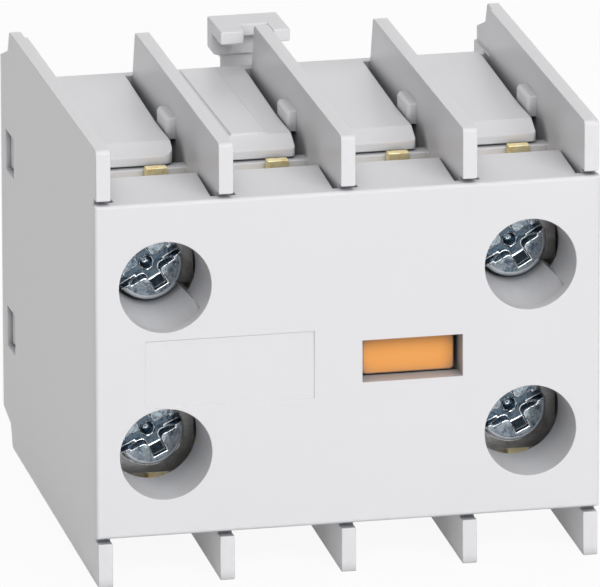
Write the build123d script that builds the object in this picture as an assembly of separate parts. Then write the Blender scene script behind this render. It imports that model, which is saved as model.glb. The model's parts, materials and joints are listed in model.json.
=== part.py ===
"""Auxiliary contact block with two contacts and four screw terminals.

The block clips on the front of a small contactor. X runs to the right, Y from the front
face to the back and Z up. The pieces are modelled about the centre of the front face and
are written with the origin at the middle of the bottom of the whole block.
"""
import os
from math import cos, radians, sin, tau

from build123d import *

os.makedirs("parts", exist_ok=True)

# Driving dimensions, in millimetres

# Front cover
cover_width = 45.0
cover_height = 30.2
plate_thick = 1.2
tongue_depth = 8.8
tongue_thick = 1.2
tongue_gap = 0.1
tongue_front_gap = 0.5
cover_edge_round = 0.35
label_width = 15.0
label_height = 6.1
label_x = -10.55
label_z = -0.42
label_depth = 0.15
post_half = 1.3
post_shoulder = 0.4
post_tip = 0.9

# Housing
shell_inset = 0.15
bay_count = 4
rib_thick = 1.3
rib_rise = 5.0
rib_lift = 0.5
rib_drop = 4.4
rib_draft = 1.4
rib_depth = 36.0
rib_crown_setback = 0.4
rib_foot_reach = 1.3
rib_back_round = 0.4
nose_gap = 0.42
nose_round = 0.45
wall_setback = 0.1
wall_lean = 0.75
wall_thinned = 0.25
wall_step = 0.3
skirt_reach = 4.0
skirt_step_top = 1.9
skirt_slope_top = 1.25
skirt_step_bottom = 3.4
skirt_slope_bottom = 0.8
skirt_round = 0.3
cross_wall_thick = 1.7
shelf_thick = 1.4
shelf_gap = 2.2
lug_front = 18.1
lug_length = 4.25
lug_height = 1.9
lug_thick = 0.85
lug_bevel = 0.25
lug_sink = 0.6
window_setback = 0.7
window_length = 3.65
window_height = 3.7
window_upper_z = 9.2
window_lower_z = -7.2

# Rear base
bay_plate_rise = 1.05
bay_plate_thick = 1.7
bay_plate_room = 0.6
bay_plate_slope_run = 1.9
bay_plate_slope_drop = 0.9
bay_plate_gap = 0.5
bay_plate_front_gap = 0.95
bay_plate_taper = 13.5
bay_plate_corner = 0.4
bay_plate_first_corner = 1.2
panel_width = 3.2
panel_rise = 0.2
panel_inset = 0.8
base_wall_thick = 2.4
base_side_gap = 0.15
base_skirt_thick = 1.35
base_skirt_setback = 0.6
base_skirt_inset = 1.0
snap_reach = 1.0
snap_land = 0.5
snap_gap = 0.2
hook_x = 9.0
hook_z = -12.2
hook_width = 5.0
hook_thick = 2.0
hook_reach = 1.1
hook_lip = 1.1
hook_drop = 1.5
hook_bevel = 0.5

# Screw wells and terminals
well_side_gap = 0.125
well_wall = 0.55
well_depth = 6.8
well_centre_z = -0.13
well_half_rise = 7.57
trough_extra = 0.35
trough_start = 1.3
trough_room = 0.15
trough_end_gap = 0.2
trough_half_angle = 54.0
head_radius = 3.1
head_thick = 2.2
head_bevel = 0.35
head_room = 0.1
slot_width = 0.9
slot_depth = 1.2
cross_width = 1.3
cross_span = 4.4
screw_radius = 1.75
screw_length = 8.4
screw_turns = 4
screw_pitch = 0.6
screw_angle = {1: 30.0, -1: 25.0}
washer_thick = 0.9
washer_side_gap = 0.375
washer_wire_side = 4.4
washer_inner_side = 2.3
washer_ear = 0.9
washer_ear_thick = 0.7
strip_thick = 1.0
strip_inner_side = 4.0
strip_edge_gap = 0.95
strip_web = 3.0
strip_tab_width = 1.9
strip_tab_rise = 1.7
strip_tab_x = 1.9
strip_leg_width = 3.4
strip_collar_radius = 2.6
strip_collar = 1.2
foot_margin = 0.3
shaft_clearance = 0.05
slide_clearance = 0.1

# Contacts
contact_gap = 2.0
bridge_width = 3.4
bridge_length = 14.4
bridge_thick = 0.8
tip_radius = 1.3
tip_thick = 0.8
tip_margin = 0.1
contact_spring_radius = 1.5
contact_spring_wire = 0.36
contact_spring_turns = 5
coil_runs = 8
coil_end = 0.7
nub_radius = 0.9
nub_length = 0.5

# Carrier and flag
flag_z = -0.42
window_margin = 0.6
window_rise = 3.8
window_frame = 2.2
window_frame_wall = 0.9
flag_side_gap = 0.35
flag_rise_gap = 0.12
flag_setback = 1.9
flag_thick = 3.0
flag_round = 0.4
neck_half_width = 2.4
neck_half_height = 1.3
carrier_gap = 0.5
carrier_room = 1.0
carrier_wall = 1.6
carrier_half_height = 3.0
carrier_side_gap = 1.6
carrier_window = 6.6
stem_side = 3.2
shoulder_side = 6.4
shoulder_thick = 2.6
stem_setback = 0.2
coupling_slot = 1.4
coupling_depth = 2.4
coupling_lip = 1.0
return_spring_radius = 2.7
return_spring_wire = 0.45
return_spring_turns = 6

# Release latch
latch_x = -0.5
latch_top_gap = 0.52
latch_head_width = 6.35
latch_head_thick = 1.2
latch_reach = 0.3
latch_setback = 0.9
latch_plate_thick = 2.0
latch_plate_gap = 0.75
latch_round = 0.6
latch_notch_left = 1.0
latch_notch_right = 1.6
latch_notch_depth = 2.5
latch_stem_half = 2.2
latch_core_half = 1.5
latch_stem_thick = 1.5
latch_tongue_thick = 0.7
latch_stem_bottom = 5.5
latch_window_half = 1.1
latch_travel = 2.0
latch_tooth_height = 2.0
latch_tooth_rise = 1.5
latch_bevel = 0.6
rail_width = 1.2
rail_bottom = 4.6
rail_top_gap = 0.25
ledge_bottom = 8.6
ledge_height = 1.0
ledge_gap = 0.15
latch_spring_rise = 0.2
latch_spring_radius = 0.6
latch_spring_wire = 0.22
latch_spring_turns = 7

# How far joined bodies reach into each other, and cutters past what they cut
bite = 0.1
past = 1.0

# Sizes worked out from the driving dimensions
cover_half = cover_height / 2
housing_width = cover_width - 2 * shell_inset
rib_pitch = (housing_width - rib_thick) / bay_count
bay_width = rib_pitch - rib_thick
rib_top = cover_half + rib_rise
rib_bottom = -(cover_half + rib_drop)
rib_back_top = rib_top + rib_lift
rib_back_bottom = rib_bottom + rib_draft
rib_crown = rib_depth - rib_crown_setback
rib_foot = rib_depth + rib_foot_reach
side_inner = housing_width / 2 - rib_thick
well_radius = bay_width / 2 - well_side_gap - well_wall
trough_radius = well_radius + trough_extra
trough_end_radius = head_radius + trough_end_gap
screw_travel = screw_turns * screw_pitch
head_start = well_depth + head_room
head_seat = head_start + head_thick
trough_end = head_seat - trough_room
washer_back = head_seat + washer_thick
washer_half_width = bay_width / 2 - washer_side_gap
strip_half_width = washer_half_width - washer_ear_thick - slide_clearance
strip_front = washer_back + screw_travel
strip_back = strip_front + strip_thick
strip_edge_z = cover_half - tongue_thick - strip_edge_gap
cross_wall_back = strip_back + cross_wall_thick
carrier_front = cross_wall_back + carrier_gap
tip_z = bridge_length / 2 - tip_radius - tip_margin
bridge_front = carrier_front + carrier_wall + carrier_window - bridge_thick
bridge_back = bridge_front + bridge_thick
carrier_back = bridge_back + carrier_wall
fixed_tip_front = bridge_back + tip_thick + contact_gap
leg_back = fixed_tip_front + tip_thick + strip_thick
leg_top = strip_edge_z - strip_web
shoulder_back = carrier_back + shoulder_thick
base_wall_front = rib_depth
base_wall_back = base_wall_front + base_wall_thick
wall_depth = base_wall_back - wall_setback
skirt_depth = base_wall_back + skirt_reach
wall_foot = wall_depth + wall_lean
skirt_top = rib_back_top - skirt_step_top
skirt_bottom = rib_bottom + skirt_step_bottom
window_front = base_wall_front + window_setback
bay_plate_top = cover_half + bay_plate_rise
bay_plate_bottom = bay_plate_top - bay_plate_thick
bay_plate_front = strip_back + bay_plate_room
base_skirt_back = skirt_depth - base_skirt_setback
stem_end = skirt_depth - stem_setback
latch_top = rib_back_top - latch_top_gap
latch_plate_bottom = bay_plate_top + latch_plate_gap
latch_front = rib_depth - latch_reach
latch_notch_back = latch_front + latch_notch_depth
latch_back = skirt_depth - latch_setback
latch_stem_front = latch_back - latch_stem_thick
rail_top = bay_plate_bottom - rail_top_gap
latch_spring_top = rail_top + latch_spring_rise
outer_bays = {"left": 0, "right": bay_count - 1}
inner_bays = {"left": 1, "right": bay_count - 2}
levels = {"upper": 1, "lower": -1}
lowest_z = rib_bottom
rear_end = skirt_depth + hook_reach + hook_lip
middle_y = rear_end / 2


def rib_left(index):
    """X of the left face of one rib."""
    return -housing_width / 2 + index * rib_pitch


def bay_centre(index):
    """X of the middle of one bay."""
    return rib_left(index) + rib_thick + bay_width / 2


def well_z(level):
    """Height of the screw axes of one level."""
    return well_centre_z + level * well_half_rise


# The indicator window lies in the right inner bay and ends at the next rib
window_left = rib_left(inner_bays["right"]) + rib_thick + window_margin
window_right = rib_left(outer_bays["right"])
window_width = window_right - window_left
flag_x = (window_left + window_right) / 2
flag_width = window_width - 2 * flag_side_gap
flag_height = window_rise - 2 * flag_rise_gap
carrier_half_width = rib_left(outer_bays["right"]) - carrier_side_gap


def block(x, y, z):
    """Box between two limits along each axis, given in any order."""
    spans = [sorted(limits) for limits in (x, y, z)]
    sizes = [high - low for low, high in spans]
    middle = [(low + high) / 2 for low, high in spans]
    return Pos(*middle) * Box(*sizes)


def rod(x, z, y, radius):
    """Round bar along Y between two limits."""
    return Pos(x, (y[0] + y[1]) / 2, z) * Rot(90, 0, 0) * Cylinder(radius, y[1] - y[0])


def side_cut(points, x, rounds=()):
    """Solid with a Y-Z outline between two X limits; rounds lists (y, z, radius)."""
    start = Plane.YZ.offset(x[0])
    outline = start * Polygon(*points, align=None)
    for y, z, radius in rounds:
        corner = outline.vertices().sort_by_distance((x[0], y, z))[0]
        outline = fillet(corner, radius)
    return extrude(outline, amount=x[1] - x[0], dir=(1, 0, 0))


def top_cut(points, z, rounds=()):
    """Solid with an X-Y outline between two Z limits; rounds lists (x, y, radius)."""
    outline = Plane.XY.offset(z[0]) * Polygon(*points, align=None)
    for x, y, radius in rounds:
        corner = outline.vertices().sort_by_distance((x, y, z[0]))[0]
        outline = fillet(corner, radius)
    return extrude(outline, amount=z[1] - z[0], dir=(0, 0, 1))


def front_cut(points, y):
    """Solid with an X-Z outline between two Y limits."""
    outline = Plane.XZ.offset(-y[0]) * Polygon(*points, align=None)
    return extrude(outline, amount=y[1] - y[0], dir=(0, 1, 0))


def coil(radius, wire, turns, length):
    """Compression spring along +Z from the origin, of square wire in short straight runs."""
    margin = coil_end * wire
    height = length - 2 * margin
    count = turns * coil_runs
    path = Polyline(
        *[
            (
                radius * cos(tau * step / coil_runs),
                radius * sin(tau * step / coil_runs),
                margin + height * step / count,
            )
            for step in range(count + 1)
        ]
    )
    start = Plane(origin=path @ 0, z_dir=path % 0, x_dir=(1, 0, 0))
    return sweep(start * Rectangle(wire, wire), path=path, transition=Transition.RIGHT)


def inner_rib(index):
    """One deep partition rib between two bays, stepped to clear the front plate."""
    left = rib_left(index)
    step_top = cover_half + nose_gap
    outline = [
        (0, rib_top),
        (rib_crown, rib_back_top),
        (rib_foot, bay_plate_bottom),
        (rib_depth, bay_plate_bottom),
        (rib_depth, -bay_plate_bottom),
        (rib_foot, -bay_plate_bottom),
        (rib_crown, rib_back_bottom),
        (0, rib_bottom),
        (0, -step_top),
        (plate_thick, -step_top),
        (plate_thick, step_top),
        (0, step_top),
    ]
    rounds = [
        (0, rib_top, nose_round),
        (rib_crown, rib_back_top, rib_back_round),
        (rib_crown, rib_back_bottom, rib_back_round),
    ]
    return side_cut(outline, (left, left + rib_thick), rounds)


def side_wall(index):
    """Outer wall: a rib that goes on behind as a lower skirt round the rear base."""
    left = rib_left(index)
    step_top = cover_half + nose_gap
    outline = [
        (0, rib_top),
        (wall_depth, rib_back_top),
        (wall_foot, skirt_top),
        (skirt_depth, skirt_top - skirt_slope_top),
        (skirt_depth, skirt_bottom + skirt_slope_bottom),
        (wall_foot, skirt_bottom),
        (wall_depth, rib_back_bottom),
        (0, rib_bottom),
        (0, -step_top),
        (plate_thick, -step_top),
        (plate_thick, step_top),
        (0, step_top),
    ]
    rounds = [
        (0, rib_top, nose_round),
        (wall_depth, rib_back_top, rib_back_round),
        (wall_depth, rib_back_bottom, rib_back_round),
        (skirt_depth, skirt_top - skirt_slope_top, skirt_round),
        (skirt_depth, skirt_bottom + skirt_slope_bottom, skirt_round),
    ]
    wall = side_cut(outline, (left, left + rib_thick), rounds)
    side = -1 if index == 0 else 1
    inner = side * side_inner
    for level in levels.values():
        wall -= block(
            (inner - side * past, inner + side * wall_thinned),
            (rib_depth + wall_step, skirt_depth + past),
            (level * bay_plate_top, level * (rib_back_top + past)),
        )
    for centre in (window_upper_z, window_lower_z):
        reach = (left - past, left + rib_thick + past)
        depth = (window_front, window_front + window_length)
        wall -= block(reach, depth, (centre - window_height / 2, centre + window_height / 2))
    return wall


def hold_down_lug(index, level):
    """Small lug on the left face of a rib, beside the edge of a bay plate."""
    right = rib_left(index)
    low = bay_plate_top - lug_sink
    lug = block(
        (right - lug_thick, right + bite),
        (lug_front, lug_front + lug_length),
        (level * low, level * (low + lug_height)),
    )
    free = lug.faces().sort_by(Axis.X)[0].edges()
    return chamfer(free, lug_bevel)


def post(bay, depth, half):
    """Square post of the cover between the two strips of an outer bay."""
    centre = bay_centre(bay)
    return block(
        (centre - half, centre + half), depth, (well_centre_z - half, well_centre_z + half)
    )


def cross_wall():
    """Wall across the bays that the strips seat on, open in the middle of the inner bays."""
    reach = bay_plate_bottom - base_side_gap
    wall = block((-side_inner, side_inner), (strip_back, cross_wall_back), (-reach, reach))
    open_x = (rib_left(1) + rib_thick, rib_left(bay_count - 1))
    wall -= block(open_x, (strip_back, cross_wall_back), (-leg_top, leg_top))
    for side, bay in outer_bays.items():
        for level in levels.values():
            wall -= rod(
                bay_centre(bay),
                well_z(level),
                (strip_back - past, cross_wall_back + past),
                strip_collar_radius + slide_clearance,
            )
        through = (strip_back - past, cross_wall_back + past)
        wall -= post(bay, through, post_half - post_shoulder + shaft_clearance)
    return wall


def contact_shelf(level):
    """Ledge across the inner bays behind the fixed contact plates."""
    low = carrier_half_height + shelf_gap
    return block(
        (rib_left(1) + rib_thick, rib_left(bay_count - 1)),
        (leg_back, leg_back + shelf_thick),
        (level * low, level * leg_top),
    )


def window_surround(gap, depth):
    """Block round the indicator window, widened by a gap on each side."""
    half_x = window_width / 2 + window_frame_wall + gap
    half_z = window_rise / 2 + window_frame_wall + gap
    return block((flag_x - half_x, flag_x + half_x), depth, (flag_z - half_z, flag_z + half_z))


def strip_slot(index, level):
    """Slot through a partition, open to the front, that a terminal strip crosses in."""
    left = rib_left(index)
    return block(
        (left - past, left + rib_thick + past),
        (plate_thick - past, strip_back),
        (level * (leg_top - slide_clearance), level * (strip_edge_z + slide_clearance)),
    )


def housing():
    """Moulded body of ribs, side walls, cross wall, shelves and lugs."""
    body = side_wall(0) + side_wall(bay_count)
    for index in range(1, bay_count):
        body += inner_rib(index)
    body += cross_wall()
    for level in levels.values():
        body += contact_shelf(level)
        for index in range(1, bay_count + 1):
            body += hold_down_lug(index, level)
        body -= strip_slot(1, level)
        body -= strip_slot(bay_count - 1, level)
    body -= window_surround(slide_clearance, (plate_thick - past, window_frame + slide_clearance))
    passage = carrier_half_height + slide_clearance
    middle = rib_left(bay_count // 2)
    body -= block(
        (middle - bite, middle + rib_thick + bite),
        (carrier_front - carrier_room, rib_depth + past),
        (-passage, passage),
    )
    return body


def front_plate():
    """Flat front of the cover with its rounded border."""
    half = cover_width / 2
    plate = block((-half, half), (0, plate_thick), (-cover_half, cover_half))
    border = plate.faces().sort_by(Axis.Y)[0].edges()
    return fillet(border, cover_edge_round)


def tongue(index, level):
    """Shelf of the cover that closes one bay behind the front plate."""
    back = bay_width / 2 - tongue_gap
    front = bay_width / 2 - tongue_front_gap
    centre = bay_centre(index)
    outline = [
        (centre - front, plate_thick / 2),
        (centre + front, plate_thick / 2),
        (centre + back, tongue_depth),
        (centre - back, tongue_depth),
    ]
    return top_cut(outline, sorted((level * (cover_half - tongue_thick), level * cover_half)))


def well_tube(x, z, toward):
    """Screw well: a tube with a trough that leads to the head from the block's middle."""
    outer = well_radius + well_wall
    tube = rod(x, z, (plate_thick / 2, well_depth), outer)
    tube -= rod(x, z, (-past, well_depth + past), well_radius)
    reach = 3 * trough_radius
    across = reach * sin(radians(trough_half_angle))
    along = toward * reach * cos(radians(trough_half_angle))
    corners = [(x, z), (x - across, z + along), (x + across, z + along)]
    wedge = front_cut(corners, (trough_start, trough_end + past))
    tube -= wedge
    funnel = Pos(x, (trough_start + trough_end) / 2, z) * Rot(-90, 0, 0)
    length = trough_end - trough_start
    shell = rod(x, z, (trough_start, trough_end), trough_radius + well_wall)
    shell -= funnel * Cone(trough_radius, trough_end_radius, length)
    return tube + (shell & wedge)


def front_cover():
    """Front moulding: plate, tongues, wells, window frame, marking field and posts."""
    cover = front_plate()
    for index in range(bay_count):
        for level in levels.values():
            cover += tongue(index, level)
    for bay in outer_bays.values():
        centre = bay_centre(bay)
        for level in levels.values():
            cover -= rod(centre, well_z(level), (-past, plate_thick + past), well_radius)
            cover += well_tube(centre, well_z(level), -level)
        cover += post(bay, (plate_thick / 2, strip_back), post_half)
        tip = (strip_back - bite, cross_wall_back + post_tip)
        cover += post(bay, tip, post_half - post_shoulder)
    half_x = window_width / 2
    half_z = window_rise / 2
    cover += window_surround(0, (plate_thick / 2, window_frame))
    cover -= block(
        (flag_x - half_x, flag_x + half_x),
        (-past, window_frame + past),
        (flag_z - half_z, flag_z + half_z),
    )
    cover -= block(
        (label_x - label_width / 2, label_x + label_width / 2),
        (-past, label_depth),
        (label_z - label_height / 2, label_z + label_height / 2),
    )
    return cover


def bay_plate(index, level):
    """Long plate of the rear base that closes one bay, narrower and sloped at its front."""
    back = bay_width / 2 - bay_plate_gap
    front = bay_width / 2 - bay_plate_front_gap
    centre = bay_centre(index)
    taper_end = base_wall_front - bay_plate_taper
    corner = bay_plate_first_corner if index == 0 else bay_plate_corner
    plan = [
        (centre - back, base_wall_back),
        (centre - back, base_wall_front),
        (centre - front, taper_end),
        (centre - front, bay_plate_front),
        (centre + front, bay_plate_front),
        (centre + front, taper_end),
        (centre + back, base_wall_front),
        (centre + back, base_wall_back),
    ]
    rounds = [
        (centre - front, bay_plate_front, bay_plate_corner),
        (centre + front, bay_plate_front, corner),
    ]
    limits = sorted((level * bay_plate_bottom, level * bay_plate_top))
    slope_back = bay_plate_front + bay_plate_slope_run
    outline = [
        (base_wall_back, level * bay_plate_top),
        (slope_back, level * bay_plate_top),
        (bay_plate_front, level * (bay_plate_top - bay_plate_slope_drop)),
        (bay_plate_front, level * bay_plate_bottom),
        (base_wall_back, level * bay_plate_bottom),
    ]
    return side_cut(outline, (centre - back, centre + back)) & top_cut(plan, limits, rounds)


def side_snap(side, centre):
    """Ramped catch that clicks into a window of the side wall."""
    face = side * (side_inner - base_side_gap)
    tip = side * (side_inner - base_side_gap + snap_reach)
    root = face - side * bite
    front = window_front + snap_gap
    back = window_front + window_length - snap_gap
    half = window_height / 2 - snap_gap
    outline = [(root, front), (face, front), (tip, back - snap_land), (tip, back), (root, back)]
    return top_cut(outline, (centre - half, centre + half))


def base_hook(x):
    """Fixed hook at the lower back that goes into the contactor first."""
    low = hook_z - hook_thick / 2
    high = hook_z + hook_thick / 2
    lip = skirt_depth + hook_reach
    outline = [
        (base_wall_back - bite, high),
        (rear_end - hook_bevel, high),
        (rear_end, high - hook_bevel),
        (rear_end, low - hook_drop + hook_bevel),
        (rear_end - hook_bevel, low - hook_drop),
        (lip, low - hook_drop),
        (lip, low),
        (base_wall_back - bite, low),
    ]
    return side_cut(outline, (x - hook_width / 2, x + hook_width / 2))


def latch_guide():
    """Pad, two lipped rails and a spring ledge for the latch on the rear wall."""
    stem = latch_stem_half + slide_clearance
    span = (rail_bottom, rail_top)
    guide = block(
        (latch_x - stem, latch_x + stem),
        (base_wall_back - bite, latch_stem_front - shaft_clearance),
        span,
    )
    lip_front = latch_stem_front + latch_tongue_thick + slide_clearance
    for side in (-1, 1):
        inner = latch_x + side * stem
        outer = inner + side * rail_width
        lip = latch_x + side * (latch_core_half + slide_clearance)
        guide += block((inner - side * bite, outer), (base_wall_back - bite, latch_back), span)
        guide += block((lip, outer), (lip_front, latch_back), span)
    guide += block(
        (latch_x - latch_window_half + ledge_gap, latch_x + latch_window_half - ledge_gap),
        (latch_stem_front - shaft_clearance - bite, latch_back - bite),
        (ledge_bottom, ledge_bottom + ledge_height),
    )
    for side in (-1, 1):
        inner = latch_x + side * stem
        guide -= block(
            (latch_x + side * (latch_core_half + slide_clearance), inner),
            (latch_stem_front - shaft_clearance, lip_front),
            (rail_bottom - past, rail_top + past),
        )
    return guide


def raised_panel():
    """Low raised field on the upper plate of the left inner bay."""
    centre = bay_centre(inner_bays["left"])
    front = bay_plate_front + bay_plate_slope_run
    return block(
        (centre - panel_width / 2, centre + panel_width / 2),
        (front, base_wall_back - panel_inset),
        (bay_plate_top - bite, bay_plate_top + panel_rise),
    )


def rear_base():
    """Rear moulding: wall, bay plates, side skirts with snaps, hooks and latch guide."""
    half = side_inner - base_side_gap
    tall = bay_plate_bottom - base_side_gap
    depth = (base_wall_front, base_wall_back)
    base = block((-half, half), depth, (-tall, tall))
    for side in (-1, 1):
        base += block(
            (side * half, side * (half - base_skirt_thick)),
            (base_wall_front, base_skirt_back),
            (base_skirt_inset - tall, tall - base_skirt_inset),
        )
        for centre in (window_upper_z, window_lower_z):
            base += side_snap(side, centre)
        base += base_hook(side * hook_x)
    for index in range(bay_count):
        left = bay_centre(index) - bay_width / 2 + bay_plate_gap
        right = bay_centre(index) + bay_width / 2 - bay_plate_gap
        for level in levels.values():
            base += bay_plate(index, level)
            base += block((left, right), depth, (level * (tall - bite), level * bay_plate_top))
    for level in levels.values():
        base += block(
            (-half, half),
            (rib_foot + base_side_gap, base_wall_back),
            (level * (tall - bite), level * bay_plate_top),
        )
    base += raised_panel()
    base += latch_guide()
    hole = stem_side / 2 + slide_clearance
    base -= block((-hole, hole), (base_wall_front - past, base_wall_back + past), (-hole, hole))
    return base


def release_latch():
    """T-shaped slide: pressed down at its head, it frees the tooth at its foot."""
    half = latch_head_width / 2
    left = latch_x - half
    right = latch_x + half
    head = block((left, right), (latch_front, latch_back), (latch_top - latch_head_thick, latch_top))
    plate_depth = (latch_back - latch_plate_thick, latch_back)
    plate = block((left, right), plate_depth, (latch_plate_bottom, latch_top))
    lower = plate.edges().filter_by(Axis.Y).group_by(Axis.Z)[0]
    plate = fillet(lower, latch_round)
    latch = head + plate
    latch -= block(
        (latch_x - latch_notch_left, latch_x + latch_notch_right),
        (latch_front - past, latch_notch_back),
        (latch_top - latch_head_thick - past, latch_top + past),
    )
    window = (ledge_bottom - slide_clearance, latch_spring_top)
    stem_top = latch_plate_bottom + bite
    latch += block(
        (latch_x - latch_core_half, latch_x + latch_core_half),
        (latch_stem_front, latch_back),
        (latch_stem_bottom, stem_top),
    )
    latch += block(
        (latch_x - latch_stem_half, latch_x + latch_stem_half),
        (latch_stem_front, latch_stem_front + latch_tongue_thick),
        (latch_stem_bottom, stem_top),
    )
    latch += block(
        (latch_x - latch_stem_half, latch_x + latch_stem_half),
        (latch_stem_front, latch_back),
        (rail_top + latch_travel + slide_clearance, stem_top),
    )
    latch -= block(
        (latch_x - latch_window_half, latch_x + latch_window_half),
        (latch_stem_front - past, latch_back + past),
        window,
    )
    lip = skirt_depth + hook_reach
    tooth_top = latch_stem_bottom + latch_tooth_height
    outline = [
        (latch_back - bite, latch_stem_bottom),
        (rear_end - latch_bevel, latch_stem_bottom),
        (rear_end, latch_stem_bottom + latch_bevel),
        (rear_end, tooth_top + latch_tooth_rise - latch_bevel),
        (rear_end - latch_bevel, tooth_top + latch_tooth_rise),
        (lip, tooth_top + latch_tooth_rise),
        (lip, tooth_top),
        (latch_back - bite, tooth_top),
    ]
    latch += side_cut(outline, (latch_x - latch_core_half, latch_x + latch_core_half))
    return latch


def latch_spring():
    """Small spring in the latch's window, standing on the ledge of the base."""
    length = latch_spring_top - (ledge_bottom + ledge_height)
    spring = coil(latch_spring_radius, latch_spring_wire, latch_spring_turns, length)
    middle = latch_stem_front + latch_stem_thick / 2
    return Pos(latch_x, middle, ledge_bottom + ledge_height) * spring


def terminal_strip(side, level):
    """Folded brass strip: clamp pad, web through the partition, leg and contact plate."""
    outer = bay_centre(outer_bays[side])
    inner = bay_centre(inner_bays[side])
    toward = 1 if side == "left" else -1
    depth = (strip_front, strip_back)
    edge = level * strip_edge_z
    strip = block(
        (outer - strip_half_width, outer + strip_half_width),
        depth,
        (well_z(level) - level * strip_inner_side, edge),
    )
    strip += block(
        (outer, inner + toward * strip_half_width),
        depth,
        (level * leg_top, edge),
    )
    for centre in (outer, inner):
        tab_left = centre + strip_tab_x - strip_tab_width / 2
        tab_top = level * (strip_edge_z + strip_tab_rise)
        strip += block((tab_left, tab_left + strip_tab_width), depth, (edge - level * bite, tab_top))
    leg = (inner - strip_leg_width / 2, inner + strip_leg_width / 2)
    strip += block(leg, (strip_front, leg_back), (level * (leg_top - strip_thick), level * leg_top))
    foot = level * (tip_z - tip_radius - foot_margin)
    strip += block(leg, (leg_back - strip_thick, leg_back), (foot, level * leg_top))
    axis_z = well_z(level)
    strip += rod(outer, axis_z, (strip_back - bite, strip_back + strip_collar), strip_collar_radius)
    through = (strip_front - past, strip_back + strip_collar + past)
    strip -= rod(outer, axis_z, through, screw_radius + shaft_clearance)
    return strip


def clamp_washer(side, level):
    """Square pressure plate with two guiding ears beside the strip."""
    centre = bay_centre(outer_bays[side])
    axis_z = well_z(level)
    span = (axis_z - level * washer_inner_side, axis_z + level * washer_wire_side)
    washer = block(
        (centre - washer_half_width, centre + washer_half_width),
        (head_seat, washer_back),
        span,
    )
    ear_span = (axis_z - level * washer_inner_side, level * (leg_top - slide_clearance))
    for ear_side in (-1, 1):
        outer = centre + ear_side * washer_half_width
        washer += block(
            (outer, outer - ear_side * washer_ear_thick),
            (head_seat, washer_back + washer_ear),
            ear_span,
        )
    through = (head_seat - past, washer_back + past)
    return washer - rod(centre, axis_z, through, screw_radius + slide_clearance)


def terminal_screw(side, level):
    """Terminal screw with a combined cross and slot in its head."""
    centre = bay_centre(outer_bays[side])
    axis_z = well_z(level)
    head = rod(centre, axis_z, (head_start, head_seat), head_radius)
    rim = head.faces().sort_by(Axis.Y)[0].edges()
    head = chamfer(rim, head_bevel)
    screw = head + rod(centre, axis_z, (head_seat - bite, head_seat + screw_length), screw_radius)
    cut = (head_start - past, head_start + slot_depth)
    full = head_radius + past
    arm = cross_span / 2
    for x, z in ((full, slot_width / 2), (arm, cross_width / 2), (cross_width / 2, arm)):
        screw -= block((centre - x, centre + x), cut, (axis_z - z, axis_z + z))
    spin = Pos(centre, 0, axis_z) * Rot(0, -screw_angle[level], 0) * Pos(-centre, 0, -axis_z)
    return spin * screw


def contact_carrier():
    """Carrier: neck to the flag, cross bar with two bridge windows, stem and coupling."""
    half_z = carrier_half_height
    carrier = block(
        (-carrier_half_width, carrier_half_width),
        (carrier_front, carrier_back),
        (-half_z, half_z),
    )
    for bay in inner_bays.values():
        centre = bay_centre(bay)
        reach = bridge_width / 2 + slide_clearance
        carrier -= block(
            (centre - reach, centre + reach),
            (carrier_front + carrier_wall, bridge_back),
            (-half_z - past, half_z + past),
        )
    carrier += block(
        (flag_x - neck_half_width, flag_x + neck_half_width),
        (flag_setback + flag_thick, carrier_front + bite),
        (flag_z - neck_half_height, flag_z + neck_half_height),
    )
    shoulder = shoulder_side / 2
    carrier += block((-shoulder, shoulder), (carrier_back - bite, shoulder_back), (-half_z, half_z))
    stem = stem_side / 2
    carrier += block((-stem, stem), (shoulder_back - bite, stem_end), (-stem, stem))
    slot = coupling_slot / 2
    carrier -= block(
        (-stem - past, stem + past),
        (stem_end - coupling_depth, stem_end - coupling_lip),
        (-slot, stem + past),
    )
    return carrier


def indicator_flag():
    """Orange flag on the carrier's neck, seen through the window."""
    flag = block(
        (flag_x - flag_width / 2, flag_x + flag_width / 2),
        (flag_setback, flag_setback + flag_thick),
        (flag_z - flag_height / 2, flag_z + flag_height / 2),
    )
    uprights = flag.edges().filter_by(Axis.Y)
    return fillet(uprights, flag_round)


def contact_bridge(side):
    """Moving bridge of one contact, with a nub that centres its spring."""
    centre = bay_centre(inner_bays[side])
    bridge = block(
        (centre - bridge_width / 2, centre + bridge_width / 2),
        (bridge_front, bridge_back),
        (-bridge_length / 2, bridge_length / 2),
    )
    return bridge + rod(centre, 0, (bridge_front - nub_length, bridge_front + bite), nub_radius)


def moving_tips(side):
    """Two silver tips on the back of one bridge."""
    centre = bay_centre(inner_bays[side])
    depth = (bridge_back, bridge_back + tip_thick)
    return [rod(centre, level * tip_z, depth, tip_radius) for level in levels.values()]


def fixed_tips():
    """Four silver tips on the contact plates of the strips."""
    depth = (fixed_tip_front, fixed_tip_front + tip_thick)
    return [
        rod(bay_centre(bay), level * tip_z, depth, tip_radius)
        for bay in inner_bays.values()
        for level in levels.values()
    ]


def contact_spring(side):
    """Pressure spring between the carrier and one bridge."""
    start = carrier_front + carrier_wall
    spring = coil(contact_spring_radius, contact_spring_wire, contact_spring_turns, bridge_front - start)
    return Pos(bay_centre(inner_bays[side]), start, 0) * Rot(-90, 0, 0) * spring


def return_spring():
    """Spring round the stem between the carrier's shoulder and the rear wall."""
    length = base_wall_front - shoulder_back
    spring = coil(return_spring_radius, return_spring_wire, return_spring_turns, length)
    return Pos(0, shoulder_back, 0) * Rot(-90, 0, 0) * spring


def write_piece(name, shape):
    """Move a piece to the block's own frame and write it."""
    pieces = shape if isinstance(shape, list) else [shape]
    solids = [solid for piece in pieces for solid in piece.solids()]
    placed = Pos(0, -middle_y, -lowest_z) * Compound(children=solids)
    export_step(placed, f"parts/{name}.step")


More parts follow.
